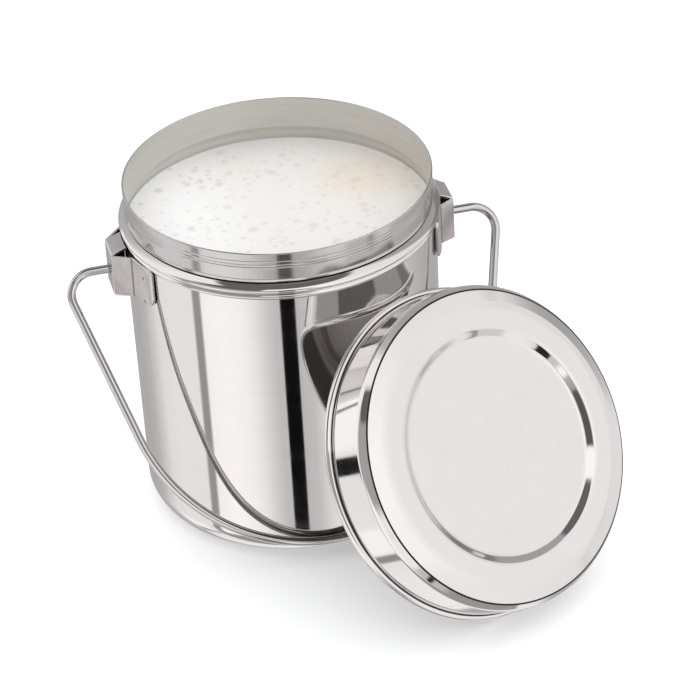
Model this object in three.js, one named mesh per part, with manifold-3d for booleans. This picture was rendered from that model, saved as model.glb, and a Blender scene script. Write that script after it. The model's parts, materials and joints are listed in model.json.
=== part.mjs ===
// A stainless steel milk can: one drawn shell with two spot-welded lugs, a wire bail that swings in
// them, and a pressed lid that leans against the can. Millimetres, +Z up, origin at the centre of
// the can's base. The bail's pivot line runs along X, and the front is -Y.
import * as THREE from "three";
import Module from "manifold-3d";

// Can shell
const SHEET = 0.7; // wall thickness
const CAN_HEIGHT = 129.3;
const MOUTH_RADIUS = 55.1; // outside, at the hem
const LIP_RADIUS = 0.4; // the mouth's rounded edge
const NECK_RADIUS = 54.7;
const SHOULDER_RADIUS = 56; // top of the body
const BASE_RADIUS = 54.8; // foot of the body, above its rounded corner
const BASE_CORNER = 9.9;
const NECK_FOOT = 117.4; // heights of the rings pressed in below the neck
const RING_SPLIT = 113.5;
const SHOULDER = 111.6;
const HEM_FOOT = 124.9;

// Lugs
const LUG_SHEET = 1;
const LUG_REACH = 62.6; // outer plate's face, from the can's axis
const LUG_PLATE_WIDTH = 12.7;
const LUG_WALL_FOOT = THREE.MathUtils.degToRad(11.8); // where a flared side wall meets the can
const LUG_FLANGE_END = THREE.MathUtils.degToRad(25.5);
const LUG_BOTTOM = 93.5; // the side walls' edges, at the plate
const LUG_TOP = 110;
const LUG_RISE = 2.1; // the bottom edge climbs this much from the plate to the can
const LUG_TOP_RISE = 1.3;
const COVER_BEND = 1.4; // the cover's fold over the plate's top edge
const FLANGE_RADIUS = SHOULDER_RADIUS + 0.35; // leaves a weld-film gap to the can

// Bail
const WIRE = 3.2; // diameter
const PIVOT_HEIGHT = 101.7;
const BAIL_HALF_WIDTH = 80.3; // where a leg's line meets the pivot line
const BAIL_DROP = 109.2; // pivot line to the middle of the arc
const BAIL_ARC = 67;
const ARC_OFFSET = 1.9; // the hand-bent arc sits this much towards +X
const BAIL_BEND = 8.2;
const HEAD_RADIUS = 2.9; // the upset end that holds the wire in its lug
const HEAD_INNER = 58.9;
const HEAD_OUTER = 60.9;
const HOLE_RADIUS = 2.1;

// Lid
const LID_SHEET = 0.7;
const SKIRT_RADIUS = 57;
const CURL_RADIUS = 1.4; // the rolled edge, a solid bead around the skirt's foot
const CURL_RING = 57.5;
const LID_TOP = 23.3;
const LID_EDGE = 54.1; // the raised top's own radius, inside the skirt's shoulder
const LID_CROWN = 5.2; // the top rounds off over this width
const LID_DISC = 21; // the sunk middle
const DISC_RADIUS = 37;
const RING_RADIUS = 41.9; // where the top starts to sink
const LID_AZIMUTH = THREE.MathUtils.degToRad(30.5); // from the front, towards +X
const LID_TILT = THREE.MathUtils.degToRad(57.1); // from lying flat
const CONTACT_GAP = 0.3;

const TURN_SEGMENTS = 72;

const wasm = await Module();
wasm.setup();
const { Manifold } = wasm;
const { lerp } = THREE.MathUtils;

const point = (x, y) => new THREE.Vector2(x, y);

// Points along an arc in the profile plane; angles in degrees, 0 along +x. A rise unlike the
// radius makes it part of an ellipse.
function arc(x, y, radius, from, to, steps, rise = radius) {
  return Array.from({ length: steps + 1 }, (_, i) => {
    const angle = THREE.MathUtils.degToRad(lerp(from, to, i / steps));
    return point(x + radius * Math.cos(angle), y + rise * Math.sin(angle));
  });
}

// A smooth step from one level to another.
function easedStep(start, end, steps) {
  return Array.from({ length: steps + 1 }, (_, i) => {
    const t = i / steps;
    return point(lerp(start.x, end.x, t), lerp(start.y, end.y, (1 - Math.cos(Math.PI * t)) / 2));
  });
}

// A ring pressed into a wall: a half wave that stands proud of the line from low to high.
function pressedRing(low, high, proud, steps) {
  return Array.from({ length: steps + 1 }, (_, i) => {
    const t = i / steps;
    const out = proud * Math.sin(Math.PI * t);
    return point(lerp(low.x, high.x, t) + out, lerp(low.y, high.y, t));
  });
}

// A profile of (radius, height) turned about +Z.
function turned(profile) {
  return new THREE.LatheGeometry(profile, TURN_SEGMENTS).rotateX(Math.PI / 2);
}

function solidOf(geometry) {
  const { position } = geometry.attributes;
  const { index } = geometry;
  const solid = new wasm.Mesh({
    numProp: 3,
    vertProperties: Float32Array.from(position.array),
    triVerts: index
      ? Uint32Array.from(index.array)
      : Uint32Array.from({ length: position.count }, (_, i) => i),
  });
  solid.merge();
  return new Manifold(solid);
}

function geometryOf(solid) {
  const mesh = solid.getMesh();
  const geometry = new THREE.BufferGeometry();
  geometry.setAttribute("position", new THREE.BufferAttribute(mesh.vertProperties, 3));
  geometry.setIndex(new THREE.BufferAttribute(mesh.triVerts, 1));
  const flat = geometry.toNonIndexed();
  flat.computeVertexNormals();
  return flat;
}

function named(name, geometry, color, roughness) {
  const material = new THREE.MeshStandardMaterial({ color, roughness, metalness: 1 });
  const mesh = new THREE.Mesh(geometry, material);
  mesh.name = name;
  return mesh;
}

// One face of the can's wall from the floor corner to the neck, as far inside as inset says.
function canWall(inset) {
  const corner = BASE_CORNER - inset;
  const proud = inset ? 0.9 : 1;
  const shoulder = point(SHOULDER_RADIUS - inset, SHOULDER);
  const split = point(SHOULDER_RADIUS - 0.1 - inset, RING_SPLIT);
  const neck = point(NECK_RADIUS - inset, NECK_FOOT);
  return [
    ...arc(BASE_RADIUS - BASE_CORNER, BASE_CORNER, corner, -90, 0, 6),
    ...pressedRing(shoulder, split, 0.6 * proud, 4),
    ...pressedRing(split, neck, 2 * proud, 8).slice(1),
  ];
}

function canBody() {
  const fineLine = (height) => [
    point(MOUTH_RADIUS, height - 0.2),
    point(MOUTH_RADIUS - 0.2, height),
    point(MOUTH_RADIUS, height + 0.2),
  ];
  return turned([
    point(0, 0),
    ...canWall(0),
    point(NECK_RADIUS, HEM_FOOT),
    point(MOUTH_RADIUS, HEM_FOOT + 0.2),
    ...fineLine(HEM_FOOT + 1.9),
    ...fineLine(HEM_FOOT + 3.1),
    ...arc(MOUTH_RADIUS - LIP_RADIUS, CAN_HEIGHT - LIP_RADIUS, LIP_RADIUS, 0, 180, 6),
    ...canWall(SHEET).reverse(),
    point(0, SHEET),
  ]);
}

// The lug's outline from above, folded from one strip: flange, flared wall, plate, wall, flange.
function lugPlan() {
  const half = LUG_PLATE_WIDTH / 2;
  const flange = (radius, from, to) =>
    Array.from({ length: 5 }, (_, i) => {
      const angle = lerp(from, to, i / 4);
      return point(radius * Math.cos(angle), radius * Math.sin(angle));
    });
  const outer = FLANGE_RADIUS + LUG_SHEET;
  const innerFoot = LUG_WALL_FOOT - LUG_SHEET / FLANGE_RADIUS;
  return new THREE.Shape([
    ...flange(outer, -LUG_FLANGE_END, -LUG_WALL_FOOT),
    point(LUG_REACH - 0.4, -half),
    point(LUG_REACH, -half + 0.4),
    point(LUG_REACH, half - 0.4),
    point(LUG_REACH - 0.4, half),
    ...flange(outer, LUG_WALL_FOOT, LUG_FLANGE_END),
    ...flange(FLANGE_RADIUS, LUG_FLANGE_END, innerFoot),
    point(LUG_REACH - LUG_SHEET, half - LUG_SHEET),
    point(LUG_REACH - LUG_SHEET, -half + LUG_SHEET),
    ...flange(FLANGE_RADIUS, -innerFoot, -LUG_FLANGE_END),
  ]);
}

// A side view (x, z) made solid across Y.
function acrossY(outline, width) {
  const geometry = new THREE.ExtrudeGeometry(new THREE.Shape(outline), {
    depth: width,
    bevelEnabled: false,
  });
  return solidOf(geometry.rotateX(Math.PI / 2).translate(0, width / 2, 0));
}

// The lug on the +X side.
function lug() {
  const strip = solidOf(
    new THREE.ExtrudeGeometry(lugPlan(), {
      depth: LUG_TOP + LUG_TOP_RISE - LUG_BOTTOM,
      bevelEnabled: false,
    }).translate(0, 0, LUG_BOTTOM),
  );
  // Seen from the side, the sheet's bottom edge climbs to the can and its outer corner is round.
  const canSide = SHOULDER_RADIUS - 6;
  const sideView = acrossY(
    [
      point(canSide, LUG_BOTTOM + LUG_RISE),
      point(FLANGE_RADIUS, LUG_BOTTOM + LUG_RISE),
      ...arc(LUG_REACH - 2.2, LUG_BOTTOM + 2.2, 2.2, -90, 0, 4),
      point(LUG_REACH, LUG_TOP),
      point(FLANGE_RADIUS, LUG_TOP + LUG_TOP_RISE),
      point(canSide, LUG_TOP + LUG_TOP_RISE),
    ],
    60,
  );
  // The cover is folded in from the plate's top edge and climbs to the underside of the ring.
  const coverClear = FLANGE_RADIUS + 0.6;
  const coverTop = LUG_TOP + 2.7;
  const cover = acrossY(
    [
      point(LUG_REACH, LUG_TOP - LUG_SHEET),
      ...arc(LUG_REACH - COVER_BEND, LUG_TOP - 0.4, COVER_BEND, 0, 66, 4),
      point(coverClear - 1, coverTop),
      point(coverClear - 1, coverTop - LUG_SHEET),
      point(LUG_REACH - COVER_BEND, LUG_TOP - LUG_SHEET + 0.4),
    ],
    LUG_PLATE_WIDTH - 1.4,
  ).subtract(Manifold.cylinder(CAN_HEIGHT, coverClear, coverClear, TURN_SEGMENTS * 2));
  const hole = Manifold.cylinder(8, HOLE_RADIUS, HOLE_RADIUS, 24)
    .rotate([0, 90, 0])
    .translate([LUG_REACH - 4, 0, PIVOT_HEIGHT]);
  let made = strip.intersect(sideView).add(cover).subtract(hole);
  // Two spot-weld dimples on each flange.
  for (const side of [-1, 1]) {
    for (const height of [LUG_BOTTOM + 4.5, LUG_TOP - 2.6]) {
      made = made.subtract(
        Manifold.cylinder(2, 1.3, 1.5, 12)
          .rotate([0, 90, 0])
          .translate([FLANGE_RADIUS + LUG_SHEET - 0.3, 0, height])
          .rotate([0, 0, side * 20]),
      );
    }
  }
  return made;
}

// Half of the wire's centre line in the bail's own plane, from its end in the lug to the arc's
// middle: x outwards, y up. The leg runs from its bend, tangent to the arc.
function bailHalf(side) {
  const { radToDeg } = THREE.MathUtils;
  const arcX = side * ARC_OFFSET;
  const arcDepth = BAIL_DROP - BAIL_ARC;
  const reach = Math.hypot(BAIL_HALF_WIDTH - arcX, arcDepth);
  const lean = Math.acos(BAIL_ARC / reach) - Math.atan2(arcDepth, BAIL_HALF_WIDTH - arcX);
  const bend = Math.PI / 2 + lean; // how far the wire turns at its bend
  const bendX = BAIL_HALF_WIDTH - BAIL_BEND * Math.tan(bend / 2);
  return [
    point(HEAD_INNER + 0.2, 0),
    ...arc(bendX, -BAIL_BEND, BAIL_BEND, 90, 90 - radToDeg(bend), 9),
    ...arc(arcX, -arcDepth, BAIL_ARC, -radToDeg(lean), -90, 20),
  ];
}

function bailRoute() {
  const right = bailHalf(1);
  const left = bailHalf(-1).reverse().slice(1);
  const points = [...right, ...left.map((p) => point(-p.x, p.y))];
  return new THREE.CatmullRomCurve3(
    points.map((p) => new THREE.Vector3(p.x, 0, p.y)),
    false,
    "centripetal",
  );
}

function bailWire() {
  const section = new THREE.Shape().absarc(0, 0, WIRE / 2, 0, 2 * Math.PI);
  const wire = new THREE.ExtrudeGeometry(section, {
    steps: 110,
    curveSegments: 12,
    extrudePath: bailRoute(),
  });
  let made = solidOf(wire);
  for (const side of [-1, 1]) {
    const head = Manifold.cylinder(HEAD_OUTER - HEAD_INNER, HEAD_RADIUS, HEAD_RADIUS, 20)
      .rotate([0, 90, 0])
      .translate([HEAD_INNER, 0, 0]);
    made = made.add(side > 0 ? head : head.rotate([0, 0, 180]));
  }
  return made;
}

// The lid's profile lies as if the lid stood on its rolled edge, open side down.
function lid() {
  const crown = LID_EDGE - LID_CROWN;
  const neck = 20.5;
  const underside = easedStep(
    point(DISC_RADIUS, LID_DISC - LID_SHEET),
    point(RING_RADIUS, LID_TOP - LID_SHEET),
    8,
  );
  return turned([
    point(0, LID_DISC - LID_SHEET),
    ...underside,
    ...arc(crown, neck, LID_CROWN - LID_SHEET, 90, 0, 5, LID_TOP - LID_SHEET - neck),
    point(54.9, 19.4),
    point(SKIRT_RADIUS - 1, 18.2),
    point(SKIRT_RADIUS - LID_SHEET, 3),
    ...arc(CURL_RING, CURL_RADIUS, CURL_RADIUS, 180, 405, 12),
    point(SKIRT_RADIUS + 0.45, 3.2),
    point(SKIRT_RADIUS, 4),
    ...arc(SKIRT_RADIUS - 1.8, 18.4, 1.6, 0, 90, 4),
    ...arc(crown, neck, LID_CROWN, 0, 90, 7, LID_TOP - neck),
    ...easedStep(point(RING_RADIUS, LID_TOP), point(DISC_RADIUS, LID_DISC), 8),
    point(0, LID_DISC),
  ]);
}

const steel = 0xc9c5c2;

const body = named("can_body", canBody(), steel, 0.12);

const lugRight = named("lug_right", geometryOf(lug()), 0xbab4b1, 0.28);
const lugLeft = named("lug_left", geometryOf(lug()), 0xbab4b1, 0.28);
lugLeft.rotation.z = Math.PI;

// The bail hangs in front, its arc resting against the foot of the can.
const bail = named("bail", geometryOf(bailWire()), 0xb4afac, 0.2);
const restRadius = BASE_RADIUS + WIRE / 2 + CONTACT_GAP;
bail.position.z = PIVOT_HEIGHT;
bail.rotation.x = -Math.asin(restRadius / BAIL_DROP);

// The lid stands on its rolled edge and leans back until that edge meets the can's wall.
const lidMesh = named("lid", lid(), steel, 0.12);
const leaning = new THREE.Group();
const wallContact = SHOULDER_RADIUS + CURL_RADIUS + CONTACT_GAP;
const ringOut = wallContact + CURL_RING * Math.cos(LID_TILT);
lidMesh.rotation.x = LID_TILT;
lidMesh.position.set(
  0,
  -ringOut + CURL_RADIUS * Math.sin(LID_TILT),
  CURL_RADIUS + CURL_RING * Math.sin(LID_TILT) - CURL_RADIUS * Math.cos(LID_TILT),
);
leaning.rotation.z = LID_AZIMUTH;
leaning.add(lidMesh);

const milkCan = new THREE.Group();
milkCan.name = "milk_can";
milkCan.add(body, lugLeft, lugRight, bail, leaning);

export default milkCan;
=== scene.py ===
"""A stainless steel milk can, full of milk, with its wire bail and its lid leaning at its side."""

import json
import math
import random

import bmesh
import bpy
from mathutils import Matrix, Vector


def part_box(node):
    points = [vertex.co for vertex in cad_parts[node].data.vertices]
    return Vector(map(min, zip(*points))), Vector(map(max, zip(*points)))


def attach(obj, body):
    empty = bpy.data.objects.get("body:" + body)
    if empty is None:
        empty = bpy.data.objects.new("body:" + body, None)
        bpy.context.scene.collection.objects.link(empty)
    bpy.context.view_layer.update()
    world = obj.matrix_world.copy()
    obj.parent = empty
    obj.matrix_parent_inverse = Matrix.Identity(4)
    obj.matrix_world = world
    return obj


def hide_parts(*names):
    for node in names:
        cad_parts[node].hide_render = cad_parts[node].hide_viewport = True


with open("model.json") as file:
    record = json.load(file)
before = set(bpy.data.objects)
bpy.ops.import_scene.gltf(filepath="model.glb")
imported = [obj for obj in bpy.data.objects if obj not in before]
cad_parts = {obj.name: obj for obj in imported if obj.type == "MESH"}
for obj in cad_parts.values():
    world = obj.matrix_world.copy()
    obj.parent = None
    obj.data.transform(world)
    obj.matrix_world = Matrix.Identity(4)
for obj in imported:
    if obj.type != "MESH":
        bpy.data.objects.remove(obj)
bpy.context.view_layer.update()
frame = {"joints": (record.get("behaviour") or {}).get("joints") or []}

MM = 0.001
TURN_SEGMENTS = 288
# Folds sharper than this many degrees stay sharp; the rest is shaded smooth.
SHARP_ANGLE = 35

# Material slots beside 0, the outer face: first the can's and the lid's, then the lugs'
# The FOLD slot holds painted shade: a near-black line in the bottom of tight folds.
INSIDE, FOLD = 1, 2
# LUG_INSIDE faces are painted near-black as shade inside the lug's pocket.
LUG_INSIDE, LUG_CUT_EDGE, LUG_WELD = 1, 2, 3

# Sizes in millimetres and angles in degrees. They are the CAD's, apart from detail that only
# the scene has: hair lines, folds, the lid's bevel, weld marks, milk and bubbles.
# Can shell
SHEET = 0.7
MOUTH_RADIUS = 55.1
LIP_RADIUS = 0.35
NECK_RADIUS = 54.7
SHOULDER_RADIUS = 56
BASE_RADIUS = 54.8
BASE_CORNER = 9.9
NECK_FOOT = 117.4
RING_SPLIT = 113.5
RING_SPLIT_INSET = 0.1
SHOULDER = 111.6
LOWER_RING_PROUD = 0.6
UPPER_RING_PROUD = 2
RING_SHARE_INSIDE = 0.25
CREASE_DEPTH = 0.5
HAIR_LINE_HEIGHTS = (118.9, 123.7, 124.8, 126.2)
HAIR_LINE_DEPTH = 0.08
HAIR_LINE_HALF_WIDTH = 0.2
CAN_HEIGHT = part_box("can_body")[1].z / MM

# Lugs
LUG_SHEET = 1
LUG_REACH = 62.6
LUG_PLATE_WIDTH = 12.7
LUG_WALL_FOOT = 11.8
LUG_FLANGE_END = 25.5
LUG_BOTTOM = 93.5
LUG_TOP = 110
LUG_RISE = 2.1
LUG_TOP_RISE = 1.3
LUG_CORNER = 2.2
LUG_FOLD_RADIUS = 0.65
LUG_EDGE_BREAK = 0.16
COVER_BEND = 1.4
COVER_BEND_HEIGHT = 109.6
COVER_BEND_ANGLE = 66
COVER_RISE = 2.7
COVER_GAP = 0.65
COVER_INSET = 0.7
WELD_TURN = 20
WELD_HEIGHTS = (98, 107.4)
WELD_RADIUS = 0.75
WELD_PROUD = 0.12
WELD_SINK = 0.03
DRILL_REACH = 4
FLANGE_RADIUS = SHOULDER_RADIUS + 0.35

# Bail
WIRE = 3.2
BAIL_HALF_WIDTH = 80.3
BAIL_DROP = 109.2
BAIL_ARC = 67
ARC_OFFSET = 1.9
BAIL_BEND = 8.2
HEAD_RADIUS = 2.9
HEAD_EDGE = 0.5
HEAD_INNER = 58.9
HEAD_OUTER = 60.9
HOLE_RADIUS = 2.1

# Lid
LID_SHEET = 0.7
SKIRT_RADIUS = 57
CURL_RADIUS = 1.4
CURL_RING = 57.5
CURL_END = 456
LID_TOP = 23.3
LID_DISC = 21
LID_FOOT = 3.1
SKIRT_TOP = 18.4
BEVEL_TOP = (55.2, 20.8)
CROWN_FOOT = (54.6, 21.07)
CROWN_RADIUS = 49
TOP_FLAT = 45
SLOPE_OUTER = 41.15
SLOPE_INNER = 38.05
DISC_FLAT = 34
BEVEL_BEND = 3
CROWN_BEND = 9
SLOPE_BEND = 2.9
LID_AZIMUTH = 30.5
LID_TILT = 57.1
CONTACT_GAP = 0.3

# Milk
MILK_LEVEL = 111.6
MILK_GAP = 0.05
MILK_EDGE_RISE = 0.5
MILK_EDGE_WIDTH = 1.5
BUBBLES = 110
BUBBLE_FIELD = 49
SMALLEST_BUBBLE = 0.3
BUBBLE_SPREAD = 0.6
BUBBLE_GAP = 1.15
BUBBLE_RISE = 0.22
BUBBLE_SINK = 0.02


def joint(name):
    """The frame's entry for that joint."""
    return next(j for j in frame["joints"] if j["name"] == name)


# ---------------------------------------------------------------- outlines


def arc(x, y, radius, start, end, steps, rise=None):
    """Points along an arc; angles in degrees, 0 along +x. A rise makes it part of an ellipse."""
    rise = radius if rise is None else rise
    angles = (math.radians(start + (end - start) * i / steps) for i in range(steps + 1))
    return [(x + radius * math.cos(a), y + rise * math.sin(a)) for a in angles]


def between(start, end, t):
    """The point at the share t of the way from start to end."""
    return (start[0] + (end[0] - start[0]) * t, start[1] + (end[1] - start[1]) * t)


def pressed_ring(low, high, proud, steps):
    """A half wave that stands proud of the line from low to high."""
    points = []
    for i in range(steps + 1):
        x, y = between(low, high, i / steps)
        points.append((x + proud * math.sin(math.pi * i / steps), y))
    return points


def rounded(corners, radius, steps=5):
    """An open line with an arc of that radius at each inner corner."""
    line = [Vector(corners[0])]
    for before, corner, after in zip(corners, corners[1:], corners[2:]):
        corner = Vector(corner)
        back, on = (Vector(before) - corner).normalized(), (Vector(after) - corner).normalized()
        half = back.angle(on) / 2
        cut = radius / math.tan(half)
        centre = corner + (back + on).normalized() * radius / math.sin(half)
        start = (corner + back * cut - centre).normalized()
        end = (corner + on * cut - centre).normalized()
        for i in range(steps + 1):
            line.append(centre + start.slerp(end, i / steps) * radius)
    return line + [Vector(corners[-1])]


def held(profile):
    """The profile with an extra point close to both ends of each long straight, so that the
    straight shades as flat as it is."""
    points = [profile[0]]
    for start, end in zip(profile, profile[1:]):
        length = math.dist(start, end)
        if length > 0.8:
            points += [between(start, end, 0.1 / length), between(start, end, 1 - 0.1 / length)]
        points.append(end)
    return points


# ---------------------------------------------------------------- meshes


class Shape:
    """Vertices in millimetres and faces, put together before they become one mesh."""

    def __init__(self):
        self.vertices, self.faces, self.kinds = [], [], []

    def turn(self, profile, segments=TURN_SEGMENTS, axis="Z", kind=0):
        """A (radius, height) profile turned about an axis."""
        rings = []
        for radius, height in held(profile):
            start = len(self.vertices)
            angles = [2 * math.pi * i / segments for i in range(segments)] if radius > 1e-6 else [0]
            for a in angles:
                x, y = radius * math.cos(a), radius * math.sin(a)
                self.vertices.append(Vector((x, y, height) if axis == "Z" else (height, x, y)))
            rings.append([start + i % len(angles) for i in range(segments)])
        for low, high in zip(rings, rings[1:]):
            for i in range(segments):
                j = (i + 1) % segments
                corners = dict.fromkeys([low[i], low[j], high[j], high[i]])
                if len(corners) > 2:
                    self.faces.append(list(corners))
                    self.kinds.append(kind)

    def grid(self, rows):
        """An open sheet through rows of points."""
        start, width = len(self.vertices), len(rows[0])
        for row in rows:
            self.vertices.extend(row)
        for i in range(len(rows) - 1):
            for k in range(width - 1):
                a = start + i * width + k
                self.faces.append([a, a + 1, a + 1 + width, a + width])
                self.kinds.append(0)

    def add(self, other, place):
        """Another shape's faces, with its vertices moved by the function place."""
        start = len(self.vertices)
        self.vertices += [place(v) for v in other.vertices]
        self.faces += [[start + i for i in face] for face in other.faces]
        self.kinds += other.kinds

    def mesh(self, name, place=None):
        """The mesh object, faces out, smooth but for real folds. It keeps its own unplaced
        coordinates as the attribute local, for its material."""
        mesh = bpy.data.meshes.new(name)
        mesh.from_pydata([v * MM for v in self.vertices], [], self.faces)
        for face, kind in zip(mesh.polygons, self.kinds):
            face.material_index = kind
        made = bpy.data.objects.new(name, mesh)
        bpy.context.scene.collection.objects.link(made)
        face_out(mesh)
        finish(mesh)
        if place is not None:
            mesh.transform(place)
        return made


def face_out(mesh):
    """Joins vertices that coincide and turns all faces outwards."""
    work = bmesh.new()
    work.from_mesh(mesh)
    bmesh.ops.remove_doubles(work, verts=work.verts, dist=1e-8)
    bmesh.ops.recalc_face_normals(work, faces=work.faces)
    work.to_mesh(mesh)
    work.free()


def finish(mesh):
    """Sets the shading and notes where each vertex is, as the attribute local."""
    mesh.shade_smooth()
    mesh.set_sharp_from_angle(angle=math.radians(SHARP_ANGLE))
    local = mesh.attributes.new("local", "FLOAT_VECTOR", "POINT")
    local.data.foreach_set("vector", [c for v in mesh.vertices for c in v.co])


def applied(piece):
    """Applies a piece's modifiers."""
    graph = bpy.context.evaluated_depsgraph_get()
    mesh = bpy.data.meshes.new_from_object(piece.evaluated_get(graph))
    piece.modifiers.clear()
    piece.data = mesh
    return piece


# ---------------------------------------------------------------- can


def can_wall(inset):
    """One face of the can's wall from the floor corner to the neck. The rings show only faintly
    on the inside."""
    share = RING_SHARE_INSIDE if inset else 1
    shoulder = (SHOULDER_RADIUS - inset, SHOULDER)
    split = (SHOULDER_RADIUS - RING_SPLIT_INSET - inset, RING_SPLIT)
    neck = (NECK_RADIUS - inset, NECK_FOOT)
    return [
        *arc(BASE_RADIUS - BASE_CORNER, BASE_CORNER, BASE_CORNER - inset, -90, 0, 24),
        *pressed_ring(shoulder, split, LOWER_RING_PROUD * share, 14),
        *pressed_ring(split, neck, UPPER_RING_PROUD * share, 30)[1:],
    ]


def neck_crease():
    """The tight fold between the neck and the ring under it."""
    return [
        (NECK_RADIUS, NECK_FOOT),
        (NECK_RADIUS - CREASE_DEPTH, NECK_FOOT + 0.1),
        (NECK_RADIUS - CREASE_DEPTH, NECK_FOOT + 0.45),
        (NECK_RADIUS + 0.14, NECK_FOOT + 0.62),
    ]


def hair_line(height):
    """A fine line rolled into the neck."""
    up = (height - NECK_FOOT) / (CAN_HEIGHT - NECK_FOOT)
    radius = NECK_RADIUS + (MOUTH_RADIUS - NECK_RADIUS) * up
    return [
        (radius, height - HAIR_LINE_HALF_WIDTH),
        (radius - HAIR_LINE_DEPTH, height),
        (radius, height + HAIR_LINE_HALF_WIDTH),
    ]


def make_can():
    crease = neck_crease()
    lines = [point for height in HAIR_LINE_HEIGHTS for point in hair_line(height)]
    lip = (MOUTH_RADIUS - LIP_RADIUS, CAN_HEIGHT - LIP_RADIUS, LIP_RADIUS)
    shape = Shape()
    shape.turn([(0, 0), *can_wall(0)])
    shape.turn(crease, kind=FOLD)
    shape.turn([crease[-1], *lines, *arc(*lip, 0, 90, 6)])
    shape.turn([*arc(*lip, 90, 180, 6), *reversed(can_wall(SHEET)), (0, SHEET)], kind=INSIDE)
    return shape.mesh("can_shell")


# ---------------------------------------------------------------- lid


def lid_inside():
    """The lid's inner face, from the middle of the disc to the curl."""
    disc, top, wall = LID_DISC - LID_SHEET, LID_TOP - LID_SHEET, SKIRT_RADIUS - LID_SHEET
    slope = [(DISC_FLAT, disc), (38.2, disc), (41.2, top), (TOP_FLAT, top)]
    crown = [(TOP_FLAT, top), (CROWN_RADIUS, top), (53.9, 20.45), (wall, 17.8), (wall, 3)]
    return [
        (0, disc),
        *rounded(slope, 1.9, 10),
        *rounded(crown, 1.2, 8)[1:],
        (CURL_RING - CURL_RADIUS, CURL_RADIUS),
    ]


def lid_skirt():
    """The skirt and its bevelled shoulder."""
    return rounded([(SKIRT_RADIUS, LID_FOOT), (SKIRT_RADIUS, SKIRT_TOP), BEVEL_TOP], BEVEL_BEND, 16)


def lid_top():
    """The crown, the raised flat, the slope and the sunk disc."""
    crown = [CROWN_FOOT, (CROWN_RADIUS, LID_TOP), (TOP_FLAT, LID_TOP)]
    slope = [
        (TOP_FLAT, LID_TOP),
        (SLOPE_OUTER, LID_TOP),
        (SLOPE_INNER, LID_DISC),
        (DISC_FLAT, LID_DISC),
    ]
    return [
        *rounded(crown, CROWN_BEND, 16),
        *rounded(slope, SLOPE_BEND, 16)[1:],
        (0, LID_DISC),
    ]


def lid_placement():
    """The lid leans on the can with its curl's upper side and stands on its lower side."""
    tilt = math.radians(LID_TILT)
    wall_contact = SHOULDER_RADIUS + CURL_RADIUS + CONTACT_GAP
    ring_out = wall_contact + CURL_RING * math.cos(tilt)
    stand = Vector((
        0,
        -ring_out + CURL_RADIUS * math.sin(tilt),
        CURL_RADIUS + CURL_RING * math.sin(tilt) - CURL_RADIUS * math.cos(tilt),
    ))
    lean = Matrix.Translation(stand * MM) @ Matrix.Rotation(tilt, 4, "X")
    return Matrix.Rotation(math.radians(LID_AZIMUTH), 4, "Z") @ lean


def make_lid():
    skirt, top = lid_skirt(), lid_top()
    curl = arc(CURL_RING, CURL_RADIUS, CURL_RADIUS, 180, CURL_END, 46)
    under_skirt = [curl[-1], (SKIRT_RADIUS - 0.25, LID_FOOT - 0.2), skirt[0]]
    under_crown = [skirt[-1], (55, 20.5), (54.8, 20.55), top[0]]
    shape = Shape()
    shape.turn(curl)
    shape.turn(under_skirt, kind=FOLD)
    shape.turn(skirt)
    shape.turn(under_crown, kind=FOLD)
    shape.turn(top)
    shape.turn(lid_inside(), kind=INSIDE)
    return shape.mesh("pressed_lid", place=lid_placement())


# ---------------------------------------------------------------- bail


def bail_half(side):
    """Half of the wire's line, from its end in the lug to the arc's middle: x outwards, y up."""
    arc_x = side * ARC_OFFSET
    arc_depth = BAIL_DROP - BAIL_ARC
    reach = math.hypot(BAIL_HALF_WIDTH - arc_x, arc_depth)
    lean = math.acos(BAIL_ARC / reach) - math.atan2(arc_depth, BAIL_HALF_WIDTH - arc_x)
    bend = math.pi / 2 + lean
    bend_x = BAIL_HALF_WIDTH - BAIL_BEND * math.tan(bend / 2)
    return [
        (HEAD_INNER + 0.5, 0),
        *arc(bend_x, -BAIL_BEND, BAIL_BEND, 90, 90 - math.degrees(bend), 28),
        *arc(arc_x, -arc_depth, BAIL_ARC, -math.degrees(lean), -90, 80),
    ]


def make_bail():
    line = bail_half(1) + [(-x, y) for x, y in reversed(bail_half(-1)[:-1])]
    line = [Vector((x, 0, y)) for x, y in line]
    around = 32
    rows = []
    for i, centre in enumerate(line):
        ahead = line[min(i + 1, len(line) - 1)] - line[max(i - 1, 0)]
        across = ahead.normalized().cross(Vector((0, 1, 0)))
        turns = [2 * math.pi * k / around for k in range(around)]
        sides = [across * math.cos(a) + Vector((0, math.sin(a), 0)) for a in turns]
        rows.append([centre + side * WIRE / 2 for side in sides])
    shape = Shape()
    for row in rows:
        shape.vertices.extend(row)
    for i in range(len(rows) - 1):
        for k in range(around):
            a, b = i * around + k, i * around + (k + 1) % around
            shape.faces.append([a, b, b + around, a + around])
    last = (len(rows) - 1) * around
    shape.faces += [list(range(around))[::-1], list(range(last, last + around))]
    shape.kinds = [0] * len(shape.faces)
    for side in (1, -1):
        shape.turn([(r, side * x) for r, x in head_profile()], 40, "X")
    hang = math.asin((BASE_RADIUS + WIRE / 2 + CONTACT_GAP) / BAIL_DROP)
    pivot = Matrix.Translation(joint("bail_swing")["pos_m"])
    return shape.mesh("bail_wire", place=pivot @ Matrix.Rotation(-hang, 4, "X"))


def head_profile():
    """The wire's upset end: a flat disc with rounded edges."""
    rim = HEAD_RADIUS - HEAD_EDGE
    return [
        (0, HEAD_INNER),
        *arc(rim, HEAD_INNER + HEAD_EDGE, HEAD_EDGE, -90, 0, 5),
        *arc(rim, HEAD_OUTER - HEAD_EDGE, HEAD_EDGE, 0, 90, 5),
        (0, HEAD_OUTER),
    ]


# ---------------------------------------------------------------- lugs


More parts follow.
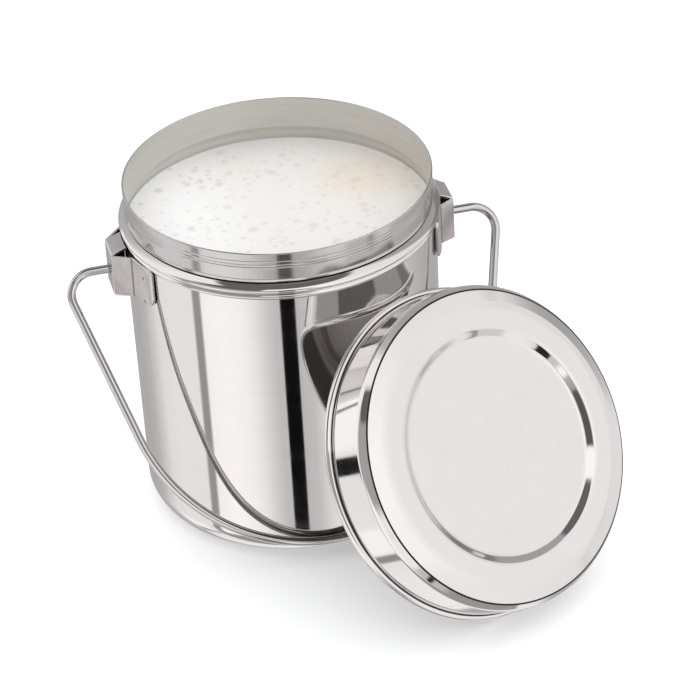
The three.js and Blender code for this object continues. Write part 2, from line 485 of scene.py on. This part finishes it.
def lug_heights(x, to_end):
    """Bottom and top of the folded strip at a distance x from the can's axis. to_end is how far
    it still is to the flange's end, where the corners are round."""
    knee = LUG_REACH - LUG_CORNER
    if x > knee:
        bottom = LUG_BOTTOM + LUG_CORNER - math.sqrt(LUG_CORNER**2 - (x - knee) ** 2)
    else:
        bottom = LUG_BOTTOM + LUG_RISE * (knee - x) / (knee - FLANGE_RADIUS)
    top = LUG_TOP + LUG_TOP_RISE * (LUG_REACH - x) / (LUG_REACH - FLANGE_RADIUS)
    short = max(LUG_CORNER - to_end, 0)
    trim = LUG_CORNER - math.sqrt(LUG_CORNER**2 - short**2)
    return bottom + trim, top - trim * 0.7


def lug_strip():
    """The strip's middle line from above: flange, flared wall, plate, wall, flange."""
    middle = FLANGE_RADIUS + LUG_SHEET / 2
    flange = arc(0, 0, middle, -LUG_FLANGE_END, -LUG_WALL_FOOT - 0.6, 10)
    plate = (LUG_REACH - LUG_SHEET / 2, -LUG_PLATE_WIDTH / 2 + LUG_SHEET / 2)
    foot = arc(0, 0, middle, -LUG_WALL_FOOT, 0, 1)[0]
    folds = rounded([flange[-1], foot, plate, (plate[0], 0)], LUG_FOLD_RADIUS)
    half = flange[:-1] + [tuple(p) for p in folds[:-1]]
    return half + [(x, -y) for x, y in reversed(half)]


def sheet_piece(name, rows):
    """A bent sheet given its thickness and its broken edges."""
    shape = Shape()
    shape.grid(rows)
    piece = shape.mesh(name)
    # The modifier numbers faces only by slots that are there, so they are made empty first.
    for _ in range(LUG_CUT_EDGE + 1):
        piece.data.materials.append(None)
    solid = piece.modifiers.new("thickness", "SOLIDIFY")
    solid.thickness = LUG_SHEET * MM
    solid.offset = 0
    solid.use_even_offset = True
    solid.material_offset = LUG_INSIDE
    solid.material_offset_rim = LUG_CUT_EDGE
    bevel = piece.modifiers.new("edges", "BEVEL")
    bevel.width = LUG_EDGE_BREAK * MM
    bevel.segments = 3
    bevel.angle_limit = math.radians(50)
    return applied(piece)


def make_lug(side):
    """A lug on the +X side, turned round for the left one."""
    piece = join("lug_folded_" + side, [lug_body(), lug_cover(), weld_marks()])
    if side == "left":
        piece.data.transform(Matrix.Rotation(math.pi, 4, "Z"))
    return piece


def lug_body():
    """The folded strip with the wire's hole."""
    line = lug_strip()
    ends = [0]
    for before, after in zip(line, line[1:]):
        ends.append(ends[-1] + math.dist(before, after))
    rows = []
    for (x, y), run in zip(line, ends):
        bottom, top = lug_heights(x, min(run, ends[-1] - run))
        rows.append([Vector((x, y, bottom + (top - bottom) * k / 10)) for k in range(11)])
    strip = sheet_piece("lug_strip", rows)

    near, far = LUG_REACH - DRILL_REACH, LUG_REACH + DRILL_REACH
    drill = Shape()
    drill.turn([(0, near), (HOLE_RADIUS, near), (HOLE_RADIUS, far), (0, far)], 48, "X")
    pivot_height = joint("bail_swing")["pos_m"][2]
    drill = drill.mesh("drill", place=Matrix.Translation((0, 0, pivot_height)))
    cut = strip.modifiers.new("hole", "BOOLEAN")
    cut.object = drill
    cut.solver = "EXACT"
    strip = applied(strip)
    bpy.data.objects.remove(drill)
    return strip


def lug_cover():
    """The tab that is folded over the top of the lug, towards the can."""
    middle = COVER_BEND - LUG_SHEET / 2
    bend = arc(LUG_REACH - COVER_BEND, COVER_BEND_HEIGHT, middle, 0, COVER_BEND_ANGLE, 6)
    half = LUG_PLATE_WIDTH / 2 - COVER_INSET
    rows = []
    for k in range(9):
        y = half * (k / 4 - 1)
        inner = math.sqrt((FLANGE_RADIUS + COVER_GAP) ** 2 - y**2)
        end = (inner, LUG_TOP + COVER_RISE - LUG_SHEET / 2)
        rows.append([Vector((x, y, z)) for x, z in [*bend, end]])
    return sheet_piece("lug_cover", rows)


def weld_marks():
    """The shallow round swellings that spot welds leave on the flanges."""
    dome = arc(0, FLANGE_RADIUS + LUG_SHEET - WELD_SINK, WELD_RADIUS, 0, 90, 8, WELD_PROUD)
    mark, marks = Shape(), Shape()
    mark.turn(dome, 24, "X", LUG_WELD)
    for turn in (-WELD_TURN, WELD_TURN):
        spin = Matrix.Rotation(math.radians(turn), 3, "Z")
        for height in WELD_HEIGHTS:
            marks.add(mark, lambda v: spin @ v + Vector((0, 0, height)))
    return marks.mesh("weld_marks")


def join(name, pieces):
    """One object from several, with fresh local coordinates."""
    work = bmesh.new()
    for piece in pieces:
        work.from_mesh(piece.data)
    mesh = bpy.data.meshes.new(name)
    work.to_mesh(mesh)
    work.free()
    for piece in pieces:
        bpy.data.objects.remove(piece)
    for attribute in [a for a in mesh.attributes if a.name == "local"]:
        mesh.attributes.remove(attribute)
    face_out(mesh)
    finish(mesh)
    made = bpy.data.objects.new(name, mesh)
    bpy.context.scene.collection.objects.link(made)
    return made


# ---------------------------------------------------------------- milk


def make_milk():
    """The milk fills the can from its base and creeps up a little where it meets the wall."""
    wall = SHEET + MILK_GAP
    edge = MILK_LEVEL + MILK_EDGE_RISE
    creep_foot = SHOULDER_RADIUS - wall - MILK_EDGE_WIDTH - 0.1
    shape = Shape()
    shape.turn([
        (0, wall),
        *arc(BASE_RADIUS - BASE_CORNER, BASE_CORNER, BASE_CORNER - wall, -90, 0, 16),
        (SHOULDER_RADIUS - wall, edge),
        *arc(creep_foot, edge, MILK_EDGE_WIDTH, 0, -90, 8, MILK_EDGE_RISE),
        (0, MILK_LEVEL),
    ])
    return shape.mesh("milk")


def make_bubbles():
    """Froth bubbles that have gathered on the milk, as low domes."""
    dice = random.Random(5)
    shape = Shape()
    made = []
    while len(made) < BUBBLES:
        angle, out = dice.uniform(0, 2 * math.pi), BUBBLE_FIELD * math.sqrt(dice.random())
        x, y = out * math.cos(angle), out * math.sin(angle)
        radius = SMALLEST_BUBBLE + BUBBLE_SPREAD * dice.random() ** 2
        if any(math.hypot(x - a, y - b) < (radius + r) * BUBBLE_GAP for a, b, r in made):
            continue
        made.append((x, y, radius))
        dome = Shape()
        dome.turn(arc(0, 0, radius, 0, 90, 5, radius * BUBBLE_RISE), 16)
        shape.add(dome, lambda v: v + Vector((x, y, MILK_LEVEL - BUBBLE_SINK)))
    return shape.mesh("milk_bubbles")


# ---------------------------------------------------------------- materials


class Nodes:
    """A node tree written as expressions: each call adds a node and gives back its output."""

    def __init__(self, owner):
        owner.use_nodes = True
        self.tree = owner.node_tree

    def __getitem__(self, name):
        return self.tree.nodes[name]

    def add(self, kind, values=None, **settings):
        node = self.tree.nodes.new("ShaderNode" + kind)
        for key, value in settings.items():
            setattr(node, key, value)
        for key, value in (values or {}).items():
            self.put(node.inputs[key], value)
        return node

    def put(self, socket, value):
        if isinstance(value, bpy.types.NodeSocket):
            self.tree.links.new(value, socket)
        else:
            socket.default_value = value

    def math(self, operation, *values):
        node = self.add("Math", dict(enumerate(values)), operation=operation)
        return node.outputs[0]

    def distance(self, x, y):
        squares = [self.math("MULTIPLY", value, value) for value in (x, y)]
        return self.math("SQRT", self.math("ADD", *squares))

    def step(self, value, low, high, start=0.0, end=1.0):
        """Goes smoothly from start to end as value goes from low to high."""
        values = {"Value": value, "From Min": low, "From Max": high, "To Min": start, "To Max": end}
        return self.add("MapRange", values, interpolation_type="SMOOTHSTEP").outputs[0]

    def window(self, value, low, high, soft):
        """1 between low and high, 0 outside."""
        rise = self.step(value, low - soft, low + soft)
        fall = self.step(value, high - soft, high + soft, 1.0, 0.0)
        return self.math("MULTIPLY", rise, fall)

    def blend(self, factor, first, second):
        """A number that goes from first to second as the factor goes from 0 to 1."""
        return self.add("Mix", {0: factor, 2: first, 3: second}).outputs[0]

    def local(self):
        return self.add("Attribute", attribute_name="local").outputs["Vector"]

    def split(self, vector):
        return self.add("SeparateXYZ", {0: vector}).outputs

    def vector(self, x, y, z):
        return self.add("CombineXYZ", {0: x, 1: y, 2: z}).outputs[0]

    def noise(self, vector, scale, detail=2.0, roughness=0.5):
        values = {"Vector": vector, "Scale": scale, "Detail": detail, "Roughness": roughness}
        return self.add("TexNoise", values).outputs[0]

    def mix(self, factor, first, second):
        node = self.add("Mix", data_type="RGBA")
        self.put(node.inputs["Factor"], factor)
        for socket, value in ((node.inputs[6], first), (node.inputs[7], second)):
            self.put(socket, value if isinstance(value, bpy.types.NodeSocket) else (*value, 1))
        return node.outputs[2]

    def haze(self, colour, share, roughness):
        """Scatters a share of the reflection widely, as fine scratches in polished steel do."""
        values = {"Base Color": colour, "Metallic": 1.0, "Roughness": roughness}
        wide = self.add("BsdfPrincipled", values).outputs[0]
        sharp = self["Principled BSDF"].outputs[0]
        both = self.add("MixShader", {0: share, 1: sharp, 2: wide}).outputs[0]
        self.put(self["Material Output"].inputs["Surface"], both)

    def bump(self, height, distance, normal=None):
        values = {"Height": height, "Distance": distance}
        if normal is not None:
            values["Normal"] = normal
        return self.add("Bump", values).outputs[0]


def material(name):
    """A new material, its nodes and its shader's sockets."""
    made = bpy.data.materials.new(name)
    nodes = Nodes(made)
    return made, nodes, nodes["Principled BSDF"].inputs


def around_axis(nodes):
    """Radius, height and angle about the piece's own axis."""
    x, y, z = nodes.split(nodes.local())
    return nodes.distance(x, y), z, nodes.math("ARCTAN2", y, x)


def polished_steel(name, light, dark, roughness, neck=False):
    """Mirror-polished sheet: buffing lines that run round, faint waviness and wiped smears.
    With a neck, the band above the rings is duller, as the spinning tool left it."""
    made, nodes, shader = material(name)
    shader["Metallic"].default_value = 1
    radius, height, angle = around_axis(nodes)
    place = nodes.local()
    lines = nodes.noise(nodes.vector(radius, height, nodes.math("MULTIPLY", angle, 0.0004)), 5200, 3)
    waves = nodes.noise(place, 26, 1)
    smears = nodes.noise(nodes.vector(radius, height, nodes.math("MULTIPLY", angle, 0.02)), 160, 4)
    tint = nodes.mix(smears, light, dark)
    rough = nodes.step(smears, 0.3, 0.8, roughness * 0.8, roughness * 1.5)
    if neck:
        worn = nodes.step(height, (NECK_FOOT - 0.2) * MM, (NECK_FOOT + 0.6) * MM)
        streaks = nodes.noise(nodes.vector(nodes.math("MULTIPLY", angle, 0.055), 0, height), 900, 3)
        dull = nodes.mix(streaks, (0.66, 0.64, 0.635), (0.56, 0.54, 0.535))
        tint = nodes.mix(worn, tint, dull)
        rough = nodes.math("ADD", rough, nodes.math("MULTIPLY", worn, 0.05))
    nodes.put(shader["Base Color"], tint)
    nodes.put(shader["Roughness"], rough)
    wavy = nodes.bump(waves, 0.00002)
    nodes.put(shader["Normal"], nodes.bump(lines, 0.0000004, wavy))
    haze = nodes.math("ADD", nodes.math("MULTIPLY", worn, 0.2), 0.02) if neck else 0.02
    nodes.haze(tint, haze, 0.5)
    return made


def spun_inside(name, light, dark):
    """The inside of a pressing: satin, with lines that run round."""
    made, nodes, shader = material(name)
    shader["Metallic"].default_value = 1
    radius, height, angle = around_axis(nodes)
    lines = nodes.noise(nodes.vector(radius, height, nodes.math("MULTIPLY", angle, 0.002)), 1500, 4)
    nodes.put(shader["Base Color"], nodes.mix(lines, light, dark))
    nodes.put(shader["Roughness"], nodes.step(lines, 0.2, 0.8, 0.42, 0.56))
    nodes.put(shader["Normal"], nodes.bump(lines, 0.000012))
    return made


def painted_crease_shade():
    """The bottom of a tight fold, painted as a dark line: painted shade, as the mirror steel shows none
    there by itself.
    """
    made, nodes, shader = material("painted_crease_shade")
    shader["Metallic"].default_value = 1
    crease_shade_noise = nodes.noise(nodes.local(), 900, 3)
    nodes.put(shader["Base Color"], nodes.mix(crease_shade_noise, (0.12, 0.11, 0.11), (0.035, 0.03, 0.03)))
    nodes.put(shader["Roughness"], nodes.step(crease_shade_noise, 0.3, 0.7, 0.4, 0.6))
    nodes.put(shader["Normal"], nodes.bump(crease_shade_noise, 0.00002))
    return made


def satin_strip(name, light, dark, folds=False):
    """The lugs' rolled strip: fine grain and slightly blotched from the weld's heat. With folds, a dark
    line of painted shade runs along the fold at the wall's foot."""
    made, nodes, shader = material(name)
    shader["Metallic"].default_value = 1
    x, y, z = nodes.split(nodes.local())
    grain = nodes.noise(nodes.vector(x, y, nodes.math("MULTIPLY", z, 0.06)), 4200, 3)
    blotch = nodes.noise(nodes.local(), 240, 3)
    tint = nodes.mix(blotch, light, dark)
    if folds:
        # Painted shade: a near-black line along the fold at the wall's foot, strongest close to the
        # can.
        side = nodes.math("ABSOLUTE", y)
        turn = nodes.math("MULTIPLY", nodes.math("ARCTAN2", side, x), 180 / math.pi)
        fold_shade_line = nodes.window(turn, LUG_WALL_FOOT - 0.3, LUG_WALL_FOOT + 0.15, 0.12)
        close = nodes.step(x, (FLANGE_RADIUS + 1.6) * MM, (FLANGE_RADIUS + 1.2) * MM, 0.0, 0.75)
        tint = nodes.mix(nodes.math("MULTIPLY", fold_shade_line, close), tint, (0.12, 0.11, 0.11))
    nodes.put(shader["Base Color"], tint)
    nodes.put(shader["Roughness"], nodes.step(grain, 0.2, 0.8, 0.17, 0.28))
    nodes.put(shader["Normal"], nodes.bump(grain, 0.000006))
    return made


def drawn_wire():
    """Bright drawn wire: die lines along it and dull patches. The side that lies towards the can is
    painted dark, as painted shade."""
    made, nodes, shader = material("drawn_wire")
    shader["Metallic"].default_value = 1
    x, y, z = nodes.split(nodes.local())
    along = [nodes.math("MULTIPLY", value, 0.01) for value in (x, z)]
    die_lines = nodes.noise(nodes.vector(along[0], y, along[1]), 3000, 3)
    patches = nodes.noise(nodes.local(), 90, 3)
    # Painted shade: the wire's side towards the can is painted dark, with its edge broken up by the
    # patches.
    back = nodes.step(nodes.math("ADD", y, nodes.math("MULTIPLY", patches, 0.0004)), 0.0, 0.001)
    bright = nodes.mix(patches, (0.68, 0.66, 0.655), (0.54, 0.52, 0.515))
    nodes.put(shader["Base Color"], nodes.mix(back, bright, (0.26, 0.245, 0.24)))
    nodes.put(shader["Roughness"], nodes.step(patches, 0.2, 0.8, 0.03, 0.07))
    nodes.put(shader["Normal"], nodes.bump(die_lines, 0.0000015))
    return made


def milk_material():
    """Whole milk: light scatters in it, cream tints it towards one side, and patches of burst
    froth leave soft spots on it."""
    made, nodes, shader = material("milk")
    x, y, z = nodes.split(nodes.local())
    away = nodes.distance(nodes.math("SUBTRACT", x, 0.036), nodes.math("SUBTRACT", y, 0.018))
    near = nodes.step(away, 0.004, 0.03, 1.0, 0.0)
    cream = nodes.math("MULTIPLY", near, nodes.noise(nodes.local(), 130, 4))
    # Painted light: the milk is painted lighter towards -X, where the can's wall shades its edge, and
    # darker from the middle on towards +X.
    body = nodes.mix(nodes.step(x, -0.045, 0.0), (0.95, 0.95, 0.945), (0.81, 0.80, 0.775))
    colour = nodes.mix(cream, body, (0.82, 0.70, 0.57))
    froth = nodes.noise(nodes.local(), 45, 2)
    for size, strength in ((190, 0.65), (330, 0.6)):
        cells = nodes.add("TexVoronoi", {"Vector": nodes.vector(x, y, 0), "Scale": size})
        share = nodes.split(cells.outputs["Color"])[0]
        reach = nodes.step(nodes.math("MULTIPLY", share, froth), 0.12, 0.5, 0.0, 0.5)
        spot = nodes.step(nodes.math("SUBTRACT", reach, cells.outputs["Distance"]), 0.0, 0.28)
        colour = nodes.mix(nodes.math("MULTIPLY", spot, strength), colour, (0.68, 0.66, 0.585))
    nodes.put(shader["Base Color"], colour)
    shader["Roughness"].default_value = 0.3
    shader["Subsurface Weight"].default_value = 0.5
    shader["Subsurface Radius"].default_value = (1.0, 0.8, 0.6)
    shader["Subsurface Scale"].default_value = 0.0015
    nodes.put(shader["Normal"], nodes.bump(nodes.noise(nodes.local(), 300, 3), 0.00003))
    return made


def bubble_material():
    """The thin milk skin of a bubble."""
    made, nodes, shader = material("froth_bubble")
    spread = nodes.noise(nodes.local(), 700, 1)
    nodes.put(shader["Base Color"], nodes.mix(spread, (0.9, 0.895, 0.84), (0.8, 0.79, 0.68)))
    shader["Roughness"].default_value = 0.2
    shader["Subsurface Weight"].default_value = 0.3
    shader["Subsurface Scale"].default_value = 0.001
    return made


# ---------------------------------------------------------------- studio


# Where the picture was taken from, in metres and degrees
CAMERA_POINT = (-0.20436, -1.05134, 0.75156)
CAMERA_PITCH = 32.945
CAMERA_AZIMUTH = 12
CAMERA_ROLL = -3.38045
CAMERA_LENS = 185.57


def make_camera():
    """The photo's view: azimuth from +Y towards +X, pitch downwards, roll about the line of sight."""
    pitch, azimuth, roll = (math.radians(a) for a in (CAMERA_PITCH, CAMERA_AZIMUTH, CAMERA_ROLL))
    forward = Vector((
        math.sin(azimuth) * math.cos(pitch),
        math.cos(azimuth) * math.cos(pitch),
        -math.sin(pitch),
    ))
    right = Vector((math.cos(azimuth), -math.sin(azimuth), 0))
    up = right.cross(forward)
    x_axis = right * math.cos(roll) + up * math.sin(roll)
    y_axis = up * math.cos(roll) - right * math.sin(roll)
    data = bpy.data.cameras.new("camera")
    data.sensor_width = 36
    data.lens = CAMERA_LENS
    data.clip_end = 30
    camera = bpy.data.objects.new("camera", data)
    axes = Matrix((x_axis, y_axis, -forward)).transposed().to_4x4()
    camera.matrix_world = Matrix.Translation(CAMERA_POINT) @ axes
    bpy.context.scene.collection.objects.link(camera)
    bpy.context.scene.camera = camera


def make_floor():
    """A plain white table top. The steel reflects the light tent in its place, as it would on
    a small stand in the middle of the tent."""
    half = 4
    mesh = bpy.data.meshes.new("floor")
    corners = [(-half, -half, 0), (half, -half, 0), (half, half, 0), (-half, half, 0)]
    mesh.from_pydata(corners, [], [[0, 1, 2, 3]])
    floor = bpy.data.objects.new("floor", mesh)
    bpy.context.scene.collection.objects.link(floor)
    made, nodes, shader = material("floor")
    shader["Base Color"].default_value = (0.88, 0.89, 0.9, 1)
    shader["Roughness"].default_value = 0.9
    shader["Emission Color"].default_value = (1, 1, 1, 1)
    shader["Emission Strength"].default_value = 0.2
    hidden = nodes.add("LightPath").outputs["Is Glossy Ray"]
    clear = nodes.add("BsdfTransparent").outputs[0]
    paint = nodes["Principled BSDF"].outputs[0]
    seen = nodes.add("MixShader", {0: hidden, 1: paint, 2: clear}).outputs[0]
    nodes.put(nodes["Material Output"].inputs["Surface"], seen)
    mesh.materials.append(made)


# The even light that the tent gives to matt surfaces, and its slightly warm tint
TABLE_LIGHT = 1.45
TENT_TINT = (1.0, 0.985, 0.98)
# Elevations between which its lower panels give way to its upper ones
PANEL_CHANGE = (-2, 10)
# The light tent round the object: brightness of its wall by azimuth, in degrees from the front
# towards +X, first below and then above the height where its panels change.
TENT_LOW = [
    (-180, 0.45), (-153, 0.52), (-141, 0.6), (-129, 0.82), (-122, 0.97), (-107, 1.03), (-84, 1.03),
    (-75, 1.2), (-60, 1.26), (-45, 1.2), (-35, 1.05), (-28, 0.86), (-20, 0.69), (-3, 0.66),
    (5, 0.7), (13, 0.9), (25, 1.1), (50, 1.05), (75, 1.0), (84, 0.7), (120, 0.52), (180, 0.45),
]
TENT_HIGH = [
    (-180, 0.45), (-150, 0.6), (-130, 1.1), (-98, 1.1), (-90, 0.45), (-5, 0.45), (6, 0.6),
    (14, 1.25), (50, 1.1), (75, 1.02), (104, 1.0), (110, 0.45), (180, 0.45),
]
# Panels and gaps in it: azimuth from and to, elevation from and to, softness, brightness
TENT_PARTS = [
    (-181, 181, -91, -60, 3, 1.05),
    (-88, 70, -91, -46, 3, 0.4),
    (80, 108, -24, 30, 2, 0.95),
    (113, 142, -24, 20, 3, 0.26),
    (38, 66, -60, -22, 3, 0.8),
    (-150, -112, -10, 14, 2, 1.2),
    (-125, -92, -52, -40, 2, 1.2),
    (-32, 4, -12, 4, 1.5, 1.25),
    (-91, -32, 47, 91, 2, 0.14),
    (-31, 14, 47, 66, 1.5, 1.25),
    (-181, 181, 68, 91, 2, 0.15),
    (-40, 3, -29, -12, 1.5, 1.1),
    (-15.4, -4.2, -38.7, -12, 0.4, 0.004),
    (-15.4, -4.2, 6, 46, 0.7, 0.11),
    (-83.5, -76.5, -91, 14, 1.2, 0.38),
    (57.5, 62.5, -91, -22, 0.8, 0.42),
    (-127, -103, -17.5, -11.5, 0.5, 0.012),
    (5, 20, -17, -9, 0.8, 0.02),
    (-125, -92, -56, -52.5, 0.8, 0.35),
]


def tent_band(nodes, azimuth, band):
    """Brightness round the tent at one height."""
    ramp = nodes.add("ValToRGB", {0: nodes.math("DIVIDE", nodes.math("ADD", azimuth, 180.0), 360.0)})
    elements = ramp.color_ramp.elements
    for i, (at, level) in enumerate(band):
        element = elements[i] if i < 2 else elements.new((at + 180) / 360)
        element.position = (at + 180) / 360
        element.color = (level, level, level, 1)
    return ramp.outputs[0]


def make_tent():
    """The world: the steel reflects the tent, matt surfaces get its even light, and the camera
    sees plain white."""
    world = bpy.data.worlds.new("light_tent")
    nodes = Nodes(world)
    x, y, z = nodes.split(nodes.add("TexCoord").outputs["Generated"])
    degrees = 180 / math.pi
    azimuth = nodes.math("MULTIPLY", nodes.math("ARCTAN2", x, nodes.math("MULTIPLY", y, -1.0)), degrees)
    elevation = nodes.math("MULTIPLY", nodes.math("ARCSINE", z), degrees)
    low, high = (tent_band(nodes, azimuth, band) for band in (TENT_LOW, TENT_HIGH))
    level = nodes.blend(nodes.step(elevation, *PANEL_CHANGE), low, high)
    for left, right, bottom, top, soft, value in TENT_PARTS:
        inside = nodes.math("MULTIPLY", nodes.window(azimuth, left, right, soft),
                            nodes.window(elevation, bottom, top, soft))
        level = nodes.blend(inside, level, value)
    tint = nodes.add("VectorMath", operation="SCALE")
    tint.inputs[0].default_value = TENT_TINT
    nodes.put(tint.inputs["Scale"], level)
    path = nodes.add("LightPath").outputs
    colour = nodes.mix(path["Is Camera Ray"], tint.outputs[0], (1.0, 1.0, 1.0))
    background = nodes["Background"].inputs
    colour = nodes.mix(path["Is Diffuse Ray"], colour, (TABLE_LIGHT,) * 3)
    nodes.put(background["Color"], colour)
    bpy.context.scene.world = world
    bpy.context.scene.view_settings.view_transform = "Standard"


# ---------------------------------------------------------------- assembly


def install(piece, body, materials, node):
    """Gives a piece its materials, its body and the CAD node it stands in for."""
    for made in materials:
        piece.data.materials.append(made)
    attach(piece, body)
    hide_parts(node)


make_camera()
make_floor()
make_tent()

can_steel = polished_steel("can_steel", (0.78, 0.76, 0.755), (0.73, 0.71, 0.705), 0.05, neck=True)
lid_steel = polished_steel("lid_steel", (0.79, 0.775, 0.77), (0.74, 0.72, 0.715), 0.05)
can_inside = spun_inside("can_inside", (0.725, 0.715, 0.685), (0.655, 0.645, 0.61))
# Painted shade for the bottoms of the tight folds
crease = painted_crease_shade()
# The lid's inner face is a darker copy of the satin inside steel: painted shade.
lid_inside_shaded_steel = spun_inside("lid_inside", (0.40, 0.375, 0.365), (0.33, 0.31, 0.30))
lug_steels = [
    satin_strip("lug_face", (0.77, 0.73, 0.725), (0.65, 0.615, 0.61), folds=True),
    # The strip's inner face is painted near-black: painted shade inside the lug's pocket.
    satin_strip("lug_inside_painted_shade", (0.10, 0.09, 0.09), (0.06, 0.055, 0.055)),
    satin_strip("lug_cut_edge", (0.86, 0.85, 0.845), (0.74, 0.73, 0.725)),
    satin_strip("lug_weld", (0.42, 0.39, 0.385), (0.24, 0.215, 0.21)),
]

install(make_can(), "can", [can_steel, can_inside, crease], "can_body")
install(make_lid(), "lid", [lid_steel, lid_inside_shaded_steel, crease], "lid")
install(make_bail(), "bail", [drawn_wire()], "bail")
for side in ("left", "right"):
    install(make_lug(side), "can", lug_steels, "lug_" + side)

milk = make_milk()
milk.data.materials.append(milk_material())
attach(milk, "can")
bubbles = make_bubbles()
bubbles.data.materials.append(bubble_material())
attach(bubbles, "can")
